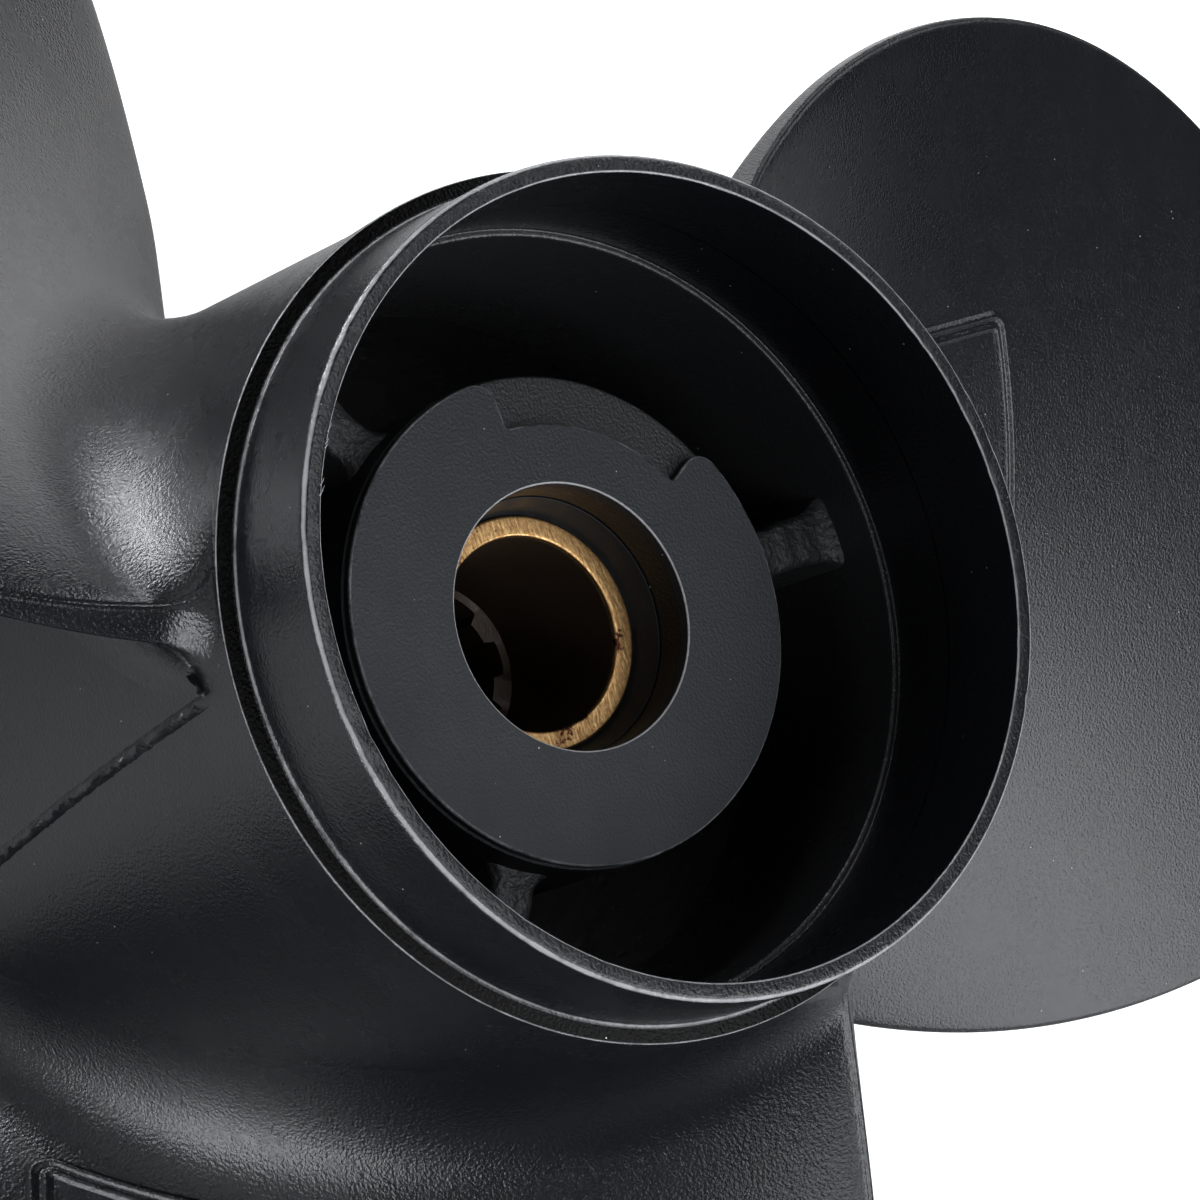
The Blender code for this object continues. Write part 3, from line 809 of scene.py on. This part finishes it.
def rimBurrs():
    # hair-thin curls of metal left on the rim
    pick = random.Random(burrs["seed"])
    points, faces = [], []
    for _ in range(burrs["count"]):
        angle = math.radians(pick.uniform(burrs["from"], burrs["to"]))
        side, lean = pick.choice((-1, 1)), pick.uniform(-0.7, 0.7)
        reach = burrs["length"] * pick.uniform(0.35, 1.0)
        base = len(points)
        for step in range(7):
            share = step / 6
            out = reach * share * math.cos(lean)
            radius = 29.8 + side * 0.45 + 0.25 * side * share
            here = angle + out / 30.0 * side
            depth = 0.25 - reach * share * abs(math.sin(lean)) - 0.15 * math.sin(3 * share)
            thick = burrs["radius"] * (1 - 0.8 * share)
            for k in range(5):
                turn = 2 * math.pi * k / 5
                points.append(polar(radius + thick * math.cos(turn), here, depth + thick * math.sin(turn)))
        for step in range(6):
            low, high = base + step * 5, base + (step + 1) * 5
            faces += [(low + k, low + (k + 1) % 5, high + (k + 1) % 5, high + k) for k in range(5)]
        faces += [tuple(base + k for k in range(5)), tuple(base + 30 + k for k in reversed(range(5)))]
    markShare = [1.0] * len(points)
    return addPiece("rim_burrs", points, faces, satinBlack, "casting", markShare)


for index, angle in enumerate(bladeAngles):
    if index != 1:  # one blade is plain
        bladeFrame("blade_frame_%d" % (index + 1), angle)
    ridge("mould_line_%d" % (index + 1), mouldPath(angle), mouldLine["halfWidth"], mouldLine["height"], mouldLine["jag"])
nibPath = [(bladeAngles[1] + math.radians(nib["from"] + (nib["to"] - nib["from"]) * k / 14),
            nib["depth"] + 0.3 * math.sin(0.4 * k)) for k in range(15)]
ridge("mould_nib", nibPath, nib["halfWidth"], nib["height"], 0.1)
rimBurrs()
report("frames, mould lines and burrs made")


# Rubber bush and splined brass sleeve

bush = {"wallDepth": 19.6, "dishDepth": 22.5, "rearDepth": 68.0, "lipRear": 20.5, "outer": 14.9}
sleeve = {
    "frontDepth": 22.3, "rearDepth": 72.0, "radius": 9.2, "bore": 7.57, "splineDepth": 38.2,
    "splineRoot": 7.07, "splineTip": 6.1, "teeth": 8, "firstTooth": 18.0, "edge": 0.22,
}


def rubberBush():
    corners = [
        (sleeve["radius"] + 0.02, bush["dishDepth"] + 0.5, 0.1), (sleeve["radius"] + 0.25, bush["dishDepth"], 0.2),
        (hub["noseHole"] - 0.05, bush["wallDepth"], 0.12), (hub["noseHole"] - 0.05, bush["lipRear"], 0.1),
        (bush["outer"], bush["lipRear"], 0.1), (bush["outer"], bush["rearDepth"], 0.6),
        (sleeve["radius"] + 0.02, bush["rearDepth"], 0.6),
    ]
    return turnedPiece("bush_rubber", roundedLoop(corners), int(160 * detail), rubberSkin, "rubber_bush")


def brassSleeve():
    perTooth = 16
    count = sleeve["teeth"] * perTooth
    edge = sleeve["edge"]
    profile = roundedLoop([
        (sleeve["radius"], sleeve["rearDepth"], 0.3), (sleeve["radius"], sleeve["frontDepth"], edge),
        (sleeve["bore"], sleeve["frontDepth"], edge), (sleeve["bore"], sleeve["splineDepth"], 0.05),
    ], closed=False)
    points, faces, markShare = [], [], []
    for radius, depth, _ in profile:
        for i in range(count):
            angle = math.radians(sleeve["firstTooth"]) + 2 * math.pi * i / count
            points.append(polar(radius, angle, depth))
            markShare.append(1.0 if radius < sleeve["bore"] + 0.02 and depth > sleeve["frontDepth"] + 0.5 else 0.0)
    for depth in (sleeve["splineDepth"] + 0.3, sleeve["rearDepth"]):
        for i in range(count):
            angle = math.radians(sleeve["firstTooth"]) + 2 * math.pi * i / count
            lift = smooth(0.28, 0.42, math.cos(2 * math.pi * i / perTooth) * 0.5 + 0.3)
            points.append(polar(sleeve["splineRoot"] + (sleeve["splineTip"] - sleeve["splineRoot"]) * lift, angle, depth))
            markShare.append(1.0)
    rings = len(profile) + 2
    for j in range(rings):
        low, high = j * count, (j + 1) % rings * count
        faces += [(low + i, low + (i + 1) % count, high + (i + 1) % count, high + i) for i in range(count)]
    return addPiece("sleeve_brass", points, faces, sleeveBrass, "splined_sleeve", markShare)


rubberBush()
brassSleeve()
report("bush and sleeve made")


# Camera, pale floor and soft lights

view = {
    "place": (0.00638, -0.13689, 0.27299), "right": (0.33935, 0.78044, 0.52512), "up": (-0.94025, 0.26485, 0.21398),
    "lens": 99.0, "sensor": 36.0,
}


def makeCamera():
    data = bpy.data.cameras.new("camera")
    data.sensor_width = view["sensor"]
    data.lens = view["lens"]
    data.clip_start = 0.01
    made = bpy.data.objects.new("camera", data)
    right, up = Vector(view["right"]), Vector(view["up"])
    turn = Matrix((right, up, right.cross(up))).transposed().to_4x4()
    made.matrix_world = Matrix.Translation(view["place"]) @ turn
    bpy.context.scene.collection.objects.link(made)
    bpy.context.scene.camera = made


floorLook = {"colour": 0.8, "dim": 0.5, "glow": 0.55}  # the glow is for the camera alone


def rayMix(tree, seen, reflected):
    # one shader for what the camera sees, another for what the gloss picks up
    path = tree.nodes.new("ShaderNodeLightPath")
    mix = tree.nodes.new("ShaderNodeMixShader")
    tree.links.new(path.outputs["Is Camera Ray"], mix.inputs[0])
    tree.links.new(reflected, mix.inputs[1])
    tree.links.new(seen, mix.inputs[2])
    return mix.outputs[0]


def makeFloor():
    reach = 4.0
    data = bpy.data.meshes.new("floor")
    corners = [(-reach, -reach, 0), (reach, -reach, 0), (reach, reach, 0), (-reach, reach, 0)]
    data.from_pydata(corners, [], [(0, 1, 2, 3)])
    finish = bpy.data.materials.new("pale floor")
    finish.use_nodes = True
    tree = finish.node_tree
    tree.nodes.remove(tree.nodes["Principled BSDF"])
    pale = place(tree, "ShaderNodeBsdfDiffuse", Color=(*[floorLook["colour"]] * 3, 1))
    glow = place(tree, "ShaderNodeEmission", Color=(1, 1, 1, 1), Strength=floorLook["glow"])
    dim = place(tree, "ShaderNodeBsdfDiffuse", Color=(*[floorLook["dim"]] * 3, 1))
    both = tree.nodes.new("ShaderNodeAddShader")
    tree.links.new(pale.outputs[0], both.inputs[0])
    tree.links.new(glow.outputs[0], both.inputs[1])
    tree.links.new(rayMix(tree, both.outputs[0], dim.outputs[0]), tree.nodes["Material Output"].inputs["Surface"])
    data.materials.append(finish)
    made = bpy.data.objects.new("floor", data)
    bpy.context.scene.collection.objects.link(made)


lampAim = Vector((0.0, 0.0, 0.05))
lampTint = (0.985, 1.0, 1.04)
lamps = [  # name, direction and height in degrees, distance, width and height in metres, brightness
    ("right box", 22, 33, 0.90, 0.60, 0.50, 4.2),
    ("right high box", 40, 52, 0.90, 0.40, 0.30, 4.9),
    ("right low box", 25, 10, 0.90, 0.50, 0.20, 3.1),
    ("front high box", 322, 52, 0.90, 0.35, 0.30, 5.0),
    ("front fill", 250, 25, 0.90, 0.70, 0.40, 1.0),
    ("top box", 0, 78, 0.90, 0.50, 0.50, 2.2),
    ("far top box", 120, 72, 0.90, 0.40, 0.40, 2.2),
    ("far box", 120, 28, 0.90, 0.40, 0.30, 3.5),
    ("rear box", 182, 22, 0.90, 0.25, 0.25, 10.0),
    ("front card", 288, -4, 0.32, 0.18, 0.09, 10.5),
    ("rear strip", 194, -7, 0.30, 0.14, 0.03, 36.0),
    ("rear strip end", 209, -7, 0.30, 0.06, 0.03, 14.0),
    ("far strip", 146, -3, 0.45, 0.22, 0.045, 5.0),
]
floorPool = {"middle": (-0.10, 0.12, 0.0), "reach": 0.65, "rise": 58, "cone": 18, "brightness": 9.5}


def placeLight(name, kind, aim, away, distance):
    data = bpy.data.lights.new(name, kind)
    made = bpy.data.objects.new(name, data)
    made.location = aim + away * distance
    made.rotation_euler = away.to_track_quat("Z", "Y").to_euler()
    made.visible_camera = False
    bpy.context.scene.collection.objects.link(made)
    return data


def makeLights():
    for name, direction, rise, distance, width, height, brightness in lamps:
        turn, tilt = math.radians(direction), math.radians(rise)
        away = Vector((math.cos(turn) * math.cos(tilt), math.sin(turn) * math.cos(tilt), math.sin(tilt)))
        data = placeLight(name, "AREA", lampAim, away, distance)
        data.shape = "RECTANGLE"
        data.size, data.size_y = width, height
        data.energy = brightness * math.pi * width * height
        data.color = lampTint
    middle = Vector(floorPool["middle"])
    away = middle.normalized() * math.cos(math.radians(floorPool["rise"]))
    away.z = math.sin(math.radians(floorPool["rise"]))
    data = placeLight("floor pool", "SPOT", middle, away, floorPool["reach"])
    data.spot_size, data.spot_blend = math.radians(floorPool["cone"]), 1.0
    data.shadow_soft_size = 0.02
    data.energy = floorPool["brightness"] * 4 * math.pi * floorPool["reach"] ** 2
    world = bpy.data.worlds.new("studio")
    world.use_nodes = True
    tree = world.node_tree
    wall = place(tree, "ShaderNodeBackground", Color=(0.93, 0.94, 0.95, 1), Strength=0.95)
    dim = place(tree, "ShaderNodeBackground", Color=(0.8, 0.9, 1.0, 1), Strength=0.05)
    tree.links.new(rayMix(tree, wall.outputs[0], dim.outputs[0]), tree.nodes["World Output"].inputs["Surface"])
    bpy.context.scene.world = world
    bpy.context.scene.view_settings.view_transform = "Standard"


makeCamera()
makeFloor()
makeLights()
report("camera, floor and lights set")
